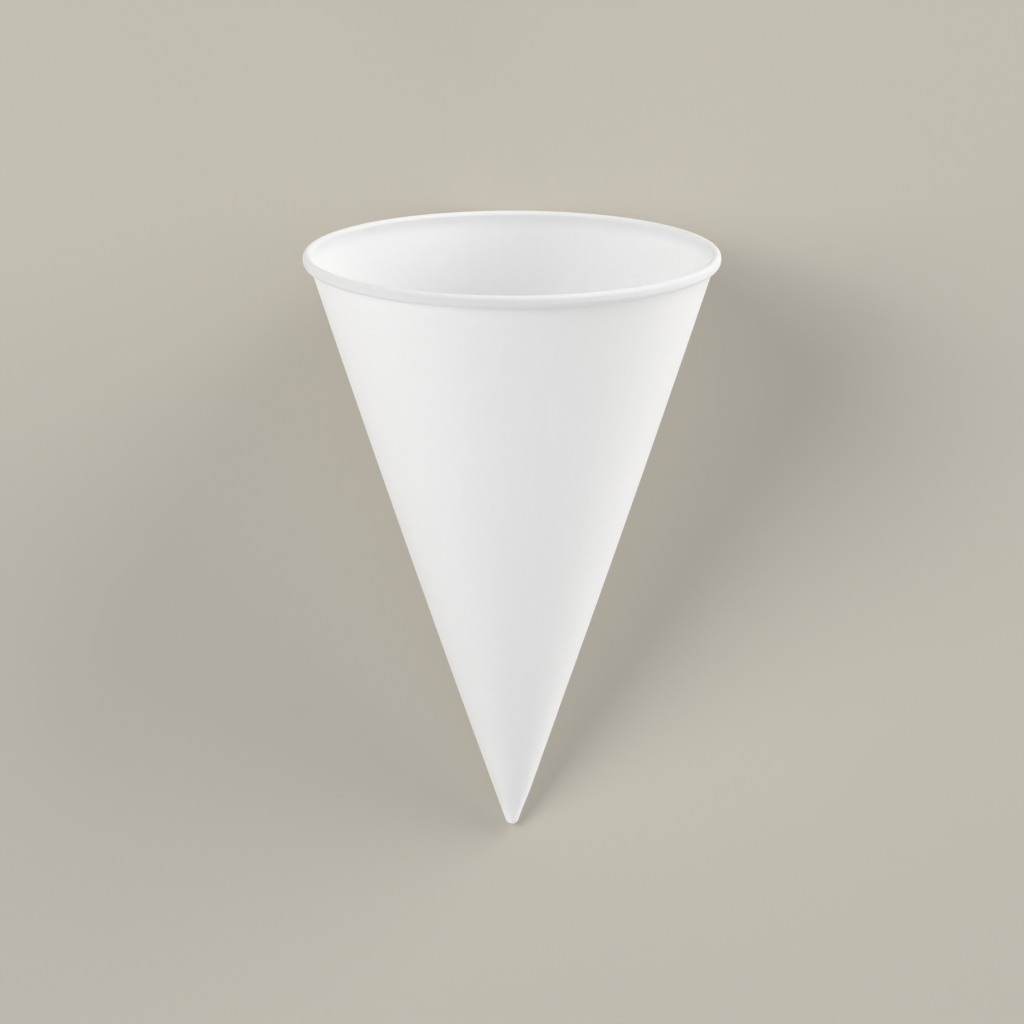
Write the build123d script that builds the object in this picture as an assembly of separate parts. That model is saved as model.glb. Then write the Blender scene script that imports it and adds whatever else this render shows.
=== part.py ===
from build123d import *

import os
from math import acos, atan2, cos, degrees, hypot, radians, sin, sqrt

# Cone paper cup with a rolled rim, wound from one sheet of paper. All lengths are in millimetres.
# The cup is drawn upright, with its tip at the origin, its mouth up and its front towards -Y.
# It is then laid on its side, as it comes to rest, with its front up and its mouth towards +Y.

# Sizes of the cup
rim_diameter = 70.0  # over the rolled rim
cup_height = 100.2  # from the tip to the top of the rim
paper = 0.22  # thickness of the sheet
wall_radius = 4100.0  # the wall bulges slightly between the rim and the tip
tip_radius = 1.15  # the pressed tip is blunt
tip_plug = 2.6  # up to here the crowded layers fill the tip
plug_round = 1.0  # between the plug and the inside of the wall

# Sizes of the rolled rim
roll_width = 1.6
roll_height = 2.1
roll_gap = 0.1  # between the neck and the edge tucked in behind it
roll_tuck = 0.5  # how far the tucked edge climbs inside the roll
neck_height = 0.5  # the paper stands upright for this much under the roll
neck_bend = 1.5  # inside of the bend from the slanted wall into the neck

# The glued lap, with its angles counted round the axis from the middle of the front
lap_start = 96.0  # free edge of the outer layer
lap_angle = 10.0  # from there to the free edge of the inner layer
climb_angle = 4.0  # over this the sheet climbs onto its own first edge
lap_foot = 4.0  # above the tip, where the two edges end in the pressed tip
lap_bury = 0.5  # share of the sheet by which the outer layer is sunk into the glued one
lap_stations = 4  # sections that carry the lap along the bulging wall

# Small flat spots where the soft paper lies on the floor
roll_flat = 0.3  # the roll is pressed in by this
wall_flat = 0.1  # the wall is pressed in by this near the tip

# Places in the section of the cup, as radius and height
rim_radius = rim_diameter / 2
roll_foot = cup_height - roll_height
neck_inside = rim_radius - roll_width
neck_outside = neck_inside + paper
crown_radius = roll_width / 2
crown = Vector(rim_radius - crown_radius, cup_height - crown_radius)
hem_inside = neck_outside + roll_gap
hem_radius = (rim_radius - hem_inside) / 2
hem = Vector(rim_radius - hem_radius, roll_foot + hem_radius)
bend = Vector(neck_outside, roll_foot - neck_height)
nose = Vector(0, tip_radius)
touch = 0.001  # edges this near a height lie at it


def centre_of_wall():
    """Centre of the long arc that starts at the bend and runs smoothly into the tip."""
    along = bend - nose
    reach = wall_radius - tip_radius
    turn = acos((along.length**2 + reach**2 - wall_radius**2) / (2 * along.length * reach))
    return nose + along.normalized().rotate(Axis.Z, degrees(turn)) * reach


wall_centre = centre_of_wall()
wall_inside_radius = wall_radius - paper


def wall_at(height, arc=wall_radius):
    """Radius of the wall at a height, for its outside or another arc about the same centre."""
    return wall_centre.X + sqrt(arc**2 - (height - wall_centre.Y) ** 2)


def height_at(radius, arc):
    """Height at which an arc about the wall's centre has a radius."""
    return wall_centre.Y - sqrt(arc**2 - (radius - wall_centre.X) ** 2)


def cup_section():
    """Half the section of one sheet: the tip, the wall, the neck, the roll and back down inside."""
    tip_end = nose + (nose - wall_centre).normalized() * tip_radius
    tip_middle = nose + Vector(sin(radians(45)), -cos(radians(45))) * tip_radius
    bend_inside = Vector(neck_inside, height_at(neck_inside, wall_inside_radius))
    plug = Vector(wall_at(tip_plug, wall_inside_radius), tip_plug)
    crown_inside = crown_radius - paper
    hem_lining = hem_radius - paper
    tuck_top = hem.Y + roll_tuck
    outline = [
        ThreePointArc((0, 0), tip_middle, tip_end),
        RadiusArc(tip_end, bend, -wall_radius),
        Line(bend, (neck_outside, crown.Y)),
        CenterArc(crown, crown_inside, 180, -180),
        Line((crown.X + crown_inside, crown.Y), (hem.X + hem_lining, hem.Y)),
        CenterArc(hem, hem_lining, 0, -180),
        Line((hem.X - hem_lining, hem.Y), (hem.X - hem_lining, tuck_top)),
        Line((hem.X - hem_lining, tuck_top), (hem_inside, tuck_top)),
        Line((hem_inside, tuck_top), (hem_inside, hem.Y)),
        CenterArc(hem, hem_radius, 180, 180),
        Line((rim_radius, hem.Y), (rim_radius, crown.Y)),
        CenterArc(crown, crown_radius, 0, 180),
        Line((neck_inside, crown.Y), bend_inside),
        RadiusArc(bend_inside, plug, wall_inside_radius),
        Line(plug, (0, tip_plug)),
        Line((0, tip_plug), (0, 0)),
    ]
    face = make_face(outline)
    face = round_corner(face, bend, neck_bend + paper)
    face = round_corner(face, bend_inside, neck_bend)
    return round_corner(face, plug, plug_round)


def round_corner(face, place, radius):
    """Rounds the one corner of a face that lies at a place."""
    corner = face.vertices().sort_by_distance(place)[0]
    return fillet(corner, radius)


def polar(radius, angle):
    """Point at a radius and an angle round the axis, counted from the middle of the front."""
    return Vector(0, -radius).rotate(Axis.Z, angle)


def arc_about_axis(radius, first, last):
    """Arc round the axis between two angles counted from the middle of the front."""
    return CenterArc((0, 0), radius, first - 90, last - first)


lap_end = lap_start + lap_angle
climb_end = lap_end + (1 + lap_bury) * climb_angle


def raised_lap(height):
    """Outer layer of the lap at a height, from its free edge to where the sheet climbs onto it."""
    outside = wall_at(height)
    step = outside - wall_at(height, wall_inside_radius)
    buried = outside - lap_bury * step
    outline = [
        Line(polar(buried, lap_start), polar(outside + step, lap_start)),
        arc_about_axis(outside + step, lap_start, lap_end),
        Line(polar(outside + step, lap_end), polar(buried, climb_end)),
        arc_about_axis(buried, climb_end, lap_start),
    ]
    return Pos(Z=height) * make_face(outline)


def inner_step(height):
    """Hollow beside the free edge of the inner layer, where the sheet climbs over that edge."""
    outside = wall_at(height)
    inside = wall_at(height, wall_inside_radius)
    step = outside - inside
    run_out = inside - lap_bury * step
    clear = inside - step
    outline = [
        Line(polar(clear, lap_end), polar(outside, lap_end)),
        Line(polar(outside, lap_end), polar(run_out, climb_end)),
        Line(polar(run_out, climb_end), polar(clear, climb_end)),
        arc_about_axis(clear, climb_end, lap_end),
    ]
    return Pos(Z=height) * make_face(outline)


def along_wall(face_at, top):
    """Carries a section up the bulging wall, and then straight up beside the neck to a height."""
    spacing = (bend.Y - lap_foot) / (lap_stations - 1)
    sections = [face_at(lap_foot + spacing * i) for i in range(lap_stations)]
    return loft(sections) + extrude(sections[-1], top - bend.Y, dir=(0, 0, 1))


def bent_at_neck(layer):
    """Rounds the two outer faces of a layer where they bend into the neck."""
    creases = layer.edges().filter_by_position(Axis.Z, bend.Y - touch, bend.Y + touch)
    return fillet(creases.sort_by(middle_radius, reverse=True)[:2], neck_bend + 2 * paper)


def middle_radius(edge):
    """Distance of an edge's middle from the axis."""
    middle = edge.position_at(0.5)
    return hypot(middle.X, middle.Y)


def upright_cup():
    """The wound, glued and rolled cup, standing on its tip, with its outer layer held in the roll."""
    cup = revolve(Plane.XZ * cup_section(), Axis.Z)
    cup += bent_at_neck(along_wall(raised_lap, hem.Y))
    cup -= along_wall(inner_step, roll_foot)
    return cup


def without_hollows():
    """The wall and the roll filled up, each to the middle of its sheet."""
    middle = paper / 2
    foot = Vector(wall_at(tip_plug, wall_radius - middle), tip_plug)
    top = Vector(wall_at(bend.Y, wall_radius - middle), bend.Y)
    outline = [
        RadiusArc(foot, top, middle - wall_radius),
        Line(top, (0, top.Y)),
        Line((0, top.Y), (0, foot.Y)),
        Line((0, foot.Y), foot),
    ]
    wall = revolve(Plane.XZ * make_face(outline), Axis.Z)
    roll = revolve(Plane.XZ * Pos(hem) * Circle(hem_radius - middle), Axis.Z)
    return wall + roll


def laid_on_side(upright):
    """Lays a shape on the floor, on its roll and the end of its wall, centred over the origin."""
    pressed = hem_radius - roll_flat
    across = hem - wall_centre
    slope = acos((wall_radius - wall_flat - pressed) / across.length) - atan2(across.Y, across.X)
    down = Vector(cos(slope), -sin(slope))
    ahead = Vector(sin(slope), cos(slope))
    lift = hem.dot(down) + pressed
    back_y = nose.dot(ahead) - tip_radius
    front_y = crown.dot(ahead) + crown_radius
    return Pos(0, -(back_y + front_y) / 2, lift) * Rot(X=degrees(slope) - 90) * upright


def layer(bottom, top):
    """Flat layer under the whole cup, between two heights."""
    return Pos(Z=(bottom + top) / 2) * Box(rim_diameter, 2 * cup_height, top - bottom)


def pressed_flat(cup, filled):
    """Flattens the cup where it lies, with its sheet pushed in and as thick as before."""
    cup += filled & layer(-roll_height, paper)
    return cup - layer(-roll_height, 0)


paper_cup = pressed_flat(laid_on_side(upright_cup()), laid_on_side(without_hollows()))
paper_cup.label = "paper_cup"

os.makedirs("parts", exist_ok=True)
export_step(paper_cup, "parts/paper_cup.step")
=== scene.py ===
from math import acos, asin, atan2, cos, degrees, hypot, pi, radians, sin, sqrt

import bpy
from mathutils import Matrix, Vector


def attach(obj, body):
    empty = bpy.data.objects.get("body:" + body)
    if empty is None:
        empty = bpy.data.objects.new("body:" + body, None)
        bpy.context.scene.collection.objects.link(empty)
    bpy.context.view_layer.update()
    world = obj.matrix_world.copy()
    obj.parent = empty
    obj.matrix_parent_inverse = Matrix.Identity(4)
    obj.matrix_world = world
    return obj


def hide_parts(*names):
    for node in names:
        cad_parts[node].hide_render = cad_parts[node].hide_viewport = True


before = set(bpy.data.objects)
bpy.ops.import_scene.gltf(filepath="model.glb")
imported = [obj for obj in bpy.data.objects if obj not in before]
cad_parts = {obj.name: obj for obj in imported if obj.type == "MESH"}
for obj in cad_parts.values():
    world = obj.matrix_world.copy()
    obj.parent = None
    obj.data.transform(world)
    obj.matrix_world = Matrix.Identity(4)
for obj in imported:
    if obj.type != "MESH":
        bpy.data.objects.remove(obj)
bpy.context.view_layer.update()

# Camera
# The cup is seen with its mouth up and a little from above, through a long lens. It lies on the floor with
# its axis rising towards the mouth, so its front and its mouth are directions in the lying cup's own frame.
lean = asin(0.32505)  # the lying cup's axis rises this much from the floor
tip = Vector((0, -0.052928, 0.000739))  # where the standing cup's tip comes to lie
front = Vector((0, -sin(lean), cos(lean)))
mouth = Vector((0, cos(lean), sin(lean)))
ring_height = 0.0992  # widest ring of the rim, above the tip
camera_distance = 0.9722
camera_rise = radians(12.02)  # of the camera over the plane of the mouth
camera_pitch = radians(14.53)  # by which the camera looks down along the cup

camera_data = bpy.data.cameras.new("camera")
camera_data.sensor_width = 36.0
camera_data.lens = 203.97
camera_data.clip_start = 0.05
camera_data.clip_end = 20.0
camera = bpy.data.objects.new("camera", camera_data)
bpy.context.scene.collection.objects.link(camera)
ring = tip + mouth * ring_height
camera.location = ring + camera_distance * (cos(camera_rise) * front + sin(camera_rise) * mouth)
sight = -cos(camera_pitch) * front - sin(camera_pitch) * mouth
camera.rotation_mode = "QUATERNION"
camera.rotation_quaternion = sight.to_track_quat("-Z", "Y")
bpy.context.scene.camera = camera

# Lights
# Soft studio light: broad panels at the left and at the right, smaller ones at the right edge and low round
# the tip, and an even pale surround that fills the shadows.
lit_height = 0.06  # of the place on the axis that all panels face, above the tip
lit_place = tip + mouth * lit_height
surround_strength = 0.27


def soft_light(name, turn, climb, distance, size, power):
    """Square panel that faces the cup, so many degrees to its right and up towards its mouth."""
    data = bpy.data.lights.new(name, "AREA")
    data.size = size
    data.energy = power
    light = bpy.data.objects.new(name, data)
    bpy.context.scene.collection.objects.link(light)
    level = sin(radians(turn)) * Vector((1, 0, 0)) + cos(radians(turn)) * front
    way = cos(radians(climb)) * level + sin(radians(climb)) * mouth
    light.location = lit_place + distance * way
    light.rotation_mode = "QUATERNION"
    light.rotation_quaternion = (-way).to_track_quat("-Z", "Y")


soft_light("left_front", turn=-50, climb=15, distance=1.3, size=0.7, power=4.8)
soft_light("left_high", turn=-45, climb=32, distance=1.3, size=0.7, power=5.2)
soft_light("right_side", turn=80, climb=15, distance=1.3, size=0.7, power=5.3)
soft_light("right_high", turn=80, climb=50, distance=1.3, size=0.7, power=7.3)
soft_light("right_edge", turn=98, climb=30, distance=1.0, size=0.35, power=0.8)
soft_light("low_left", turn=-76, climb=-25, distance=1.0, size=0.35, power=1.0)
soft_light("low_front", turn=0, climb=-62, distance=1.0, size=0.35, power=2.1)
soft_light("low_right", turn=55, climb=-45, distance=1.0, size=0.35, power=1.7)
surround = bpy.data.worlds.new("surround")
surround.use_nodes = True
surround_light = surround.node_tree.nodes["Background"].inputs
surround_light["Color"].default_value = (1, 1, 1, 1)
surround_light["Strength"].default_value = surround_strength
bpy.context.scene.world = surround
bpy.context.scene.view_settings.view_transform = "Standard"

# Floor
# A plain pale floor, warm beige and matt, much larger than the view.
floor_reach = 3.0
floor_beige = (0.56, 0.525, 0.457, 1)


class Socket:
    """Output of a shader node, with Python's operators as Math nodes."""

    tree = None

    def __init__(self, output):
        self.output = output

    @classmethod
    def fill(cls, socket, value):
        """Gives a socket a value or links it."""
        if isinstance(value, Socket):
            cls.tree.links.new(value.output, socket)
        else:
            socket.default_value = value

    @classmethod
    def node(cls, kind, inputs, output=0, **settings):
        """Adds a node of a type, makes its settings, fills its inputs and returns an output."""
        made = cls.tree.nodes.new(kind)
        for name, value in settings.items():
            setattr(made, name, value)
        for name, value in inputs.items():
            cls.fill(made.inputs[name], value)
        return cls(made.outputs[output])

    def __add__(self, other):
        return self.node("ShaderNodeMath", {0: self, 1: other}, operation="ADD")

    def __sub__(self, other):
        return self.node("ShaderNodeMath", {0: self, 1: other}, operation="SUBTRACT")

    def __rsub__(self, other):
        return self.node("ShaderNodeMath", {0: other, 1: self}, operation="SUBTRACT")

    def __mul__(self, other):
        return self.node("ShaderNodeMath", {0: self, 1: other}, operation="MULTIPLY")

    __radd__ = __add__
    __rmul__ = __mul__


def new_material(name):
    """Material with one Principled shader, on whose nodes Socket then works."""
    material = bpy.data.materials.new(name)
    material.use_nodes = True
    Socket.tree = material.node_tree
    return material, material.node_tree.nodes["Principled BSDF"].inputs


bpy.ops.object.select_all(action="DESELECT")
bpy.ops.mesh.primitive_plane_add(size=2 * floor_reach)
floor = bpy.context.object
floor.name = "floor"
floor_material, floor_finish = new_material("pale_floor")
floor_finish["Base Color"].default_value = floor_beige
floor_finish["Roughness"].default_value = 0.9
floor_finish["Specular IOR Level"].default_value = 0.1
floor.data.materials.append(floor_material)

# Paper cup
# One sheet of stiff white paper, wound into a cone and glued along a lap, with its tip pressed shut and its
# upper edge turned outwards over the crown, down the outside and back up behind the neck. Its section is
# drawn standing on the tip, turned round the axis, given its lap and then laid down on its roll and its wall.
paper = 0.00022
rim_radius = 0.035
cup_height = 0.1002
tip_radius = 0.00115
tip_plug = 0.0026  # up to here the crowded layers fill the tip
plug_round = 0.001
wall_radius = 4.1  # the wall bulges slightly
roll_width = 0.0014
roll_height = 0.0021
roll_gap = 0.0001  # between the neck and the edge tucked in behind it
roll_tuck = 0.0005
hem_radius = 0.001  # the roll's foot turns in wide
tuck_radius = 0.0003  # and then tight, up behind the neck
bend_rise = 0.0001  # of the corner between wall and neck, over the roll's foot
neck_bend = 0.0075
wall_steps = 44
bend_steps = 8
steps_round = 360
weld_reach = 2e-7  # places closer than this are one

roll_foot = cup_height - roll_height
neck_inside = rim_radius - roll_width
neck_outside = neck_inside + paper
crown_radius = roll_width / 2
crown = Vector((rim_radius - crown_radius, 0, cup_height - crown_radius))
tuck = Vector((neck_outside + roll_gap + tuck_radius, 0, roll_foot + tuck_radius))
hem_reach = hem_radius - tuck_radius
hem_turn = acos((tuck.x + hem_radius - rim_radius) / hem_reach)
hem = tuck + hem_reach * Vector((-cos(hem_turn), 0, sin(hem_turn)))
nose = Vector((0, 0, tip_radius))
bend = Vector((neck_outside, 0, roll_foot + bend_rise))


def centre_of_wall():
    """Centre of the long arc that starts at the bend and runs smoothly into the tip."""
    along = bend - nose
    reach = wall_radius - tip_radius
    ahead = (along.length_squared + reach**2 - wall_radius**2) / (2 * along.length)
    aside = sqrt(reach**2 - ahead**2)
    way = along.normalized()
    return nose + way * ahead + Vector((-way.z, 0, way.x)) * aside


wall_centre = centre_of_wall()


def place_at_reach(out, reach):
    """Place at a distance from the axis and at a reach from the wall's centre."""
    return Vector((out, 0, wall_centre.z - sqrt(reach**2 - (out - wall_centre.x) ** 2)))


def place_at_height(height, reach):
    """Place at a height and at a reach from the wall's centre."""
    return Vector((wall_centre.x + sqrt(reach**2 - (height - wall_centre.z) ** 2), 0, height))


bend_centre = place_at_reach(neck_inside - neck_bend, wall_radius - paper - neck_bend)
plug_centre = place_at_height(tip_plug + plug_round, wall_radius - paper - plug_round)


def angle_of(place, centre):
    """Direction of a place from a centre, in degrees up from the outward direction."""
    return degrees(atan2(place.z - centre.z, place.x - centre.x))


wall_start = angle_of(nose, wall_centre)
wall_end = angle_of(bend_centre, wall_centre)
lining_end = angle_of(plug_centre, wall_centre)


def arc(centre, first, last, steps):
    """Turns the line's end round a centre, from one direction to another."""
    bpy.ops.mesh.spin(
        steps=steps, angle=radians(last - first), center=centre, axis=(0, 1, 0), use_auto_merge=False
    )


def run(out, up, steps=1):
    """Runs the line's end straight on, by so much outwards and upwards."""
    for _ in range(steps):
        bpy.ops.mesh.extrude_region_move(
            TRANSFORM_OT_translate={"value": (out / steps, 0, up / steps)}
        )


# the section's line, which starts as one point at the end of the tip
bpy.ops.object.select_all(action="DESELECT")
bpy.ops.mesh.primitive_plane_add(size=paper)
cup = bpy.context.object
cup.name = "cup"
bpy.ops.object.mode_set(mode="EDIT")
bpy.ops.mesh.select_all(action="SELECT")
bpy.ops.mesh.merge(type="CENTER")

# outside of the tip, the wall and the neck
arc(nose, -90, wall_start, 10)
arc(wall_centre, wall_start, wall_end, wall_steps)
arc(bend_centre, wall_end, 0, bend_steps)
run(0, crown.z - bend_centre.z, 2)

# lining of the roll, its tucked edge, and the outside of the roll
turned_in = degrees(hem_turn)
arc(crown, 180, 0, 14)
run(0, hem.z - crown.z, 2)
arc(hem, 0, -turned_in, 8)
arc(tuck, -turned_in, -180, 6)
run(0, roll_tuck, 2)
run(-paper, 0)
run(0, -roll_tuck, 2)
arc(tuck, -180, -turned_in, 8)
arc(hem, -turned_in, 0, 14)
run(0, crown.z - hem.z, 2)
arc(crown, 0, 180, 20)

# inside of the neck and the wall, down to the plug
run(0, bend_centre.z - crown.z, 2)
arc(bend_centre, 0, wall_end, bend_steps)
arc(wall_centre, wall_end, lining_end, wall_steps)
arc(plug_centre, lining_end, -90, 5)
run(-plug_centre.x, 0, 2)

# the section turned round the axis, closed at the two poles
bpy.ops.mesh.select_all(action="SELECT")
bpy.ops.mesh.spin(steps=steps_round, angle=2 * pi, center=(0, 0, 0), axis=(0, 0, 1))
bpy.ops.mesh.select_all(action="SELECT")
bpy.ops.mesh.remove_doubles(threshold=weld_reach)
bpy.ops.mesh.normals_make_consistent(inside=False)

# the lap, with angles in degrees round the axis from the middle of the front
lap_start = 96.0  # free edge of the outer layer
lap_end = 106.0  # free edge of the inner layer
climb_end = 110.0  # the sheet has climbed down from its own first edge
edge_width = 0.05  # the free edges stand nearly square
lap_foot = 0.004  # above the tip, where the lap ends in the pressed tip
lap_top = roll_foot - 0.0005  # from here to the roll's foot the outer free edge lies down
lining_top = roll_foot - 0.0026  # and so does the inner one
column = 360 / steps_round


def angle_round(place):
    """Angle of a place round the axis, in degrees from the middle of the front."""
    return (degrees(atan2(place.y, place.x)) + 90) % 360


def cut_at(angle):
    """Cuts the column of faces that holds an angle."""
    bpy.ops.object.mode_set(mode="OBJECT")
    for face in cup.data.polygons:
        face.select = angle_round(face.center) // column == angle // column
    bpy.ops.object.mode_set(mode="EDIT")
    way = radians(angle)
    bpy.ops.mesh.bisect(plane_co=(0, 0, 0), plane_no=(cos(way), sin(way), 0), threshold=1e-8)


bpy.ops.mesh.select_mode(type="FACE")
cut_at(lap_start - edge_width)
cut_at(lap_end + edge_width)
bpy.ops.object.mode_set(mode="OBJECT")


def on_outside(place):
    """Whether a place is on the outside of the wall or of the roll. The round tip isn't counted."""
    if place.z < roll_foot:
        centre, radius = wall_centre, wall_radius
    elif place.z < hem.z:
        centre, radius = hem, hem_radius
    else:
        centre, radius = Vector((crown.x, 0, min(place.z, crown.z))), crown_radius
    return hypot(hypot(place.x, place.y) - centre.x, place.z - centre.z) > radius - paper / 2


def fade(value, start, end):
    """Runs evenly from 0 at the start to 1 at the end."""
    return min(max((value - start) / (end - start), 0), 1)


for vertex in cup.data.vertices:
    angle = angle_round(vertex.co)
    raised = fade(vertex.co.z, tip_plug, lap_foot) * fade(angle, climb_end, lap_end)
    if on_outside(vertex.co):
        first_edge = lap_start
        raised *= fade(vertex.co.z, roll_foot, lap_top)
    else:
        first_edge = lap_end + edge_width
        raised *= fade(vertex.co.z, roll_foot, lining_top)
    if angle > first_edge - edge_width / 2 and raised:
        out = hypot(vertex.co.x, vertex.co.y)
        vertex.co.xy *= 1 + raised * paper / out
outside = [on_outside(vertex.co) for vertex in cup.data.vertices]

# laid down, with the soft roll and the wall pressed flat and the sheet as thick there as before
crisp_angle = radians(30)  # the sheet's cut edges turn more sharply than this and stay crisp
cup.rotation_euler.x = lean - pi / 2
cup.location = tip
bpy.ops.object.transform_apply(location=True, rotation=True, scale=True)
for vertex, outer in zip(cup.data.vertices, outside):
    vertex.co.z = max(vertex.co.z, 0 if outer else paper)
bpy.ops.object.shade_smooth_by_angle(angle=crisp_angle)

# bare white paper that lets some light through, with a cloudy sheet, a fine grain of fibres and faint streaks
# that run up the wall from the winding
paper_white = (0.855, 0.859, 0.869)
streak_rise = 2.0  # small, so that the streaks are drawn out up the wall
cup_material, cup_finish = new_material("white_paper")
cup_finish["Specular IOR Level"].default_value = 0.3
cup_finish["Subsurface Weight"].default_value = 0.6
cup_finish["Subsurface Radius"].default_value = (1, 1, 1)
cup_finish["Subsurface Scale"].default_value = 0.0005
standing = Socket.node(
    "ShaderNodeMapping",
    {
        "Vector": Socket.node("ShaderNodeTexCoord", {}, output="Object"),
        "Location": tip,
        "Rotation": (lean - pi / 2, 0, 0),
    },
    vector_type="TEXTURE",
)
flattened = Socket.node("ShaderNodeVectorMath", {0: standing, 1: (1, 1, 0)}, operation="MULTIPLY")
around = Socket.node("ShaderNodeVectorMath", {0: flattened}, operation="NORMALIZE")
risen = {0: standing, 1: (0, 0, streak_rise)}
upwards = Socket.node("ShaderNodeVectorMath", risen, operation="MULTIPLY")
wound = Socket.node("ShaderNodeVectorMath", {0: around, 1: upwards}, operation="ADD")


def mottle(place, scale, detail=2.0):
    """Soft random pattern that runs about evenly from -0.5 to 0.5."""
    return Socket.node("ShaderNodeTexNoise", {"Vector": place, "Scale": scale, "Detail": detail}) - 0.5


clouds = mottle(standing, 700.0)
grain = mottle(standing, 4200.0)
streaks = mottle(wound, 40.0)
tone = {0: paper_white, "Scale": 1 + 0.022 * clouds + 0.03 * grain + 0.014 * streaks}
Socket.fill(cup_finish["Base Color"], Socket.node("ShaderNodeVectorMath", tone, operation="SCALE"))
Socket.fill(cup_finish["Roughness"], 0.68 + 0.12 * clouds - 0.1 * grain)
bump = {"Strength": 0.35, "Distance": 0.00003, "Height": grain + 0.6 * clouds + 0.3 * streaks}
Socket.fill(cup_finish["Normal"], Socket.node("ShaderNodeBump", bump))
cup.data.materials.append(cup_material)
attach(cup, "root")
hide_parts("paper_cup")
